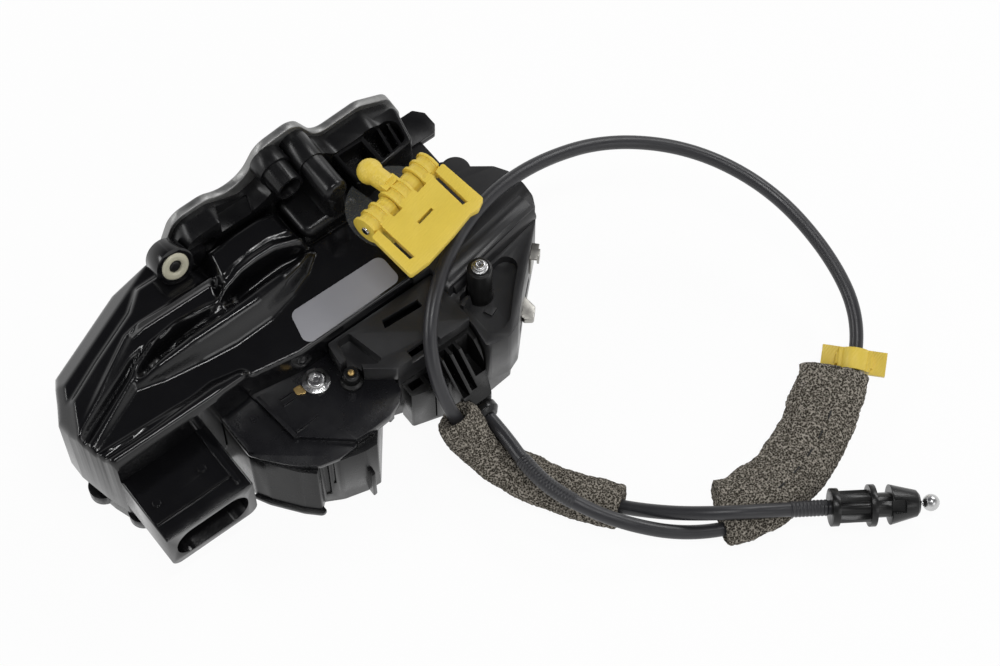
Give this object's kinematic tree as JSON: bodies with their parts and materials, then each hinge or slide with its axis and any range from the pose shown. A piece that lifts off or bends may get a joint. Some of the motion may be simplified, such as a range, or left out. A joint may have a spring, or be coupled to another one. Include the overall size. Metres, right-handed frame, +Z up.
{
  "type": "car door latch",
  "caption": "Side door latch in black plastic with steel face plate, fork and pawl, lock motor, plug shroud and a looped release cable with foam sleeves and ball end.",
  "frame": {"origin": "bottom centre of the latch without its cable, on the plane it rests on", "axes": "+X along the latch away from the plug, +Y towards the steel face plate, +Z up from the resting plane"},
  "size_m": [0.2593, 0.2279, 0.0748],
  "materials": {
    "housing_black": "moulded, slightly worn",
    "cover_black": "glossy moulded",
    "drum_grey": "satin",
    "module_grey": "matte",
    "bracket_black": "satin",
    "plate_steel": "brushed",
    "bright_steel": "plain",
    "spring_steel": "oiled",
    "brass": "plain",
    "bumper_rubber": "matte",
    "cream_plastic": "matte",
    "yellow_plastic": "matte",
    "clear_plastic": "clear film",
    "label_silver": "bare foil",
    "cable_black": "satin extruded",
    "foam_grey": "open-cell foam"
  },
  "bodies": {
    "housing": {"base_housing": "housing_black", "main_cover": "cover_black", "gear_cover": "drum_grey", "connector_shroud": "cover_black", "connector_pins": "brass", "face_plate": "plate_steel", "latch_frame": "housing_black", "frame_side": "housing_black", "frame_top": "housing_black", "back_plate": "bright_steel", "fork_pivot": "bright_steel", "pawl_pivot": "bright_steel", "fork_spring": "spring_steel", "pawl_spring": "spring_steel", "striker_bumper": "bumper_rubber", "side_module": "module_grey", "cable_cover": "module_grey", "cable_bracket": "bracket_black", "cable_ferrule": "bracket_black", "lever_pin": "bracket_black", "pivot_post": "bracket_black", "post_screw": "bright_steel", "key_pin": "bracket_black", "spring_clip": "spring_steel", "clip_pin": "bright_steel", "clip_bracket": "yellow_plastic", "clear_disc": "clear_plastic", "ring_boss": "cover_black", "ring_bushing": "cream_plastic", "ring_pin": "bracket_black", "label": "label_silver", "cover_screw": "bright_steel", "contact_tab": "brass", "ground_stud": "bracket_black", "stud_tip": "brass", "motor_can": "bright_steel", "motor_cradle": "housing_black", "wheel_pin": "bright_steel", "lock_pin": "bracket_black", "cable_jacket": "cable_black", "foam_left": "foam_grey", "foam_right": "foam_grey", "cable_clip": "yellow_plastic", "end_fitting": "bracket_black"},
    "fork": {"fork_bolt": "bright_steel"},
    "pawl": {"pawl": "bright_steel"},
    "cable_end": {"cable_ball": "bright_steel"},
    "release": {"release_lever": "bright_steel", "core_nipple": "bright_steel"},
    "core": {"core_tail": "bright_steel"},
    "wheel": {"worm_wheel": "drum_grey"},
    "worm": {"worm": "bright_steel"},
    "lock": {"lock_lever": "bracket_black"},
    "key": {"key_lever": "spring_steel"},
    "rod_clip": {"rod_clip": "yellow_plastic"}
  },
  "joints": [
    {"name": "fork_turn", "type": "hinge", "parent": "housing", "child": "fork", "pos_m": [0.044, 0.0487, 0.032], "axis": [0, 1, 0], "range_deg": [0, 58], "stiffness_Nm_per_rad": 0.05},
    {"name": "pawl_lift", "type": "hinge", "parent": "housing", "child": "pawl", "pos_m": [0.009, 0.0487, 0.0475], "axis": [0, -1, 0], "range_deg": [-6, 7], "stiffness_Nm_per_rad": 0.03},
    {"name": "cable_pull", "type": "slide", "parent": "housing", "child": "cable_end", "axis": [0.8317, -0.5527, -0.0526], "range_m": [0, 0.012], "stiffness_N_per_m": 60},
    {"name": "release_turn", "type": "hinge", "parent": "housing", "child": "release", "pos_m": [0.054, -0.0225, 0.017], "axis": [0, 0, 1], "range_deg": [0, 31.2]},
    {"name": "core_slide", "type": "slide", "parent": "housing", "child": "core", "axis": [0, -1, 0], "range_m": [0, 0.0121]},
    {"name": "wheel_turn", "type": "hinge", "parent": "housing", "child": "wheel", "pos_m": [-0.0067, -0.0235, 0.0109], "axis": [0, 0, 1], "range_deg": [0, 80]},
    {"name": "worm_turn", "type": "hinge", "parent": "housing", "child": "worm", "pos_m": [-0.005, -0.0097, 0.0109], "axis": [1, 0, 0], "range_deg": [-1925, 0]},
    {"name": "lock_swing", "type": "hinge", "parent": "housing", "child": "lock", "pos_m": [-0.0317, -0.0235, 0.0183], "axis": [0, 0, 1], "range_deg": [-26, 0]},
    {"name": "key_turn", "type": "hinge", "parent": "housing", "child": "key", "pos_m": [0.072, -0.004, 0.0225], "axis": [0, 0, 1], "range_deg": [-8, 8]},
    {"name": "rod_clip_flip", "type": "hinge", "parent": "housing", "child": "rod_clip", "pos_m": [0.04516, 0.01112, 0.066], "axis": [-0.9744, -0.225, 0], "range_deg": [0, 45]}
  ],
  "couplings": [
    {"joint": "release_turn", "follows": "cable_pull", "rad_per_m": 45.088},
    {"joint": "core_slide", "follows": "cable_pull", "ratio": 1},
    {"joint": "worm_turn", "follows": "wheel_turn", "ratio": -24},
    {"joint": "lock_swing", "follows": "wheel_turn", "ratio": -0.3226}
  ]
}
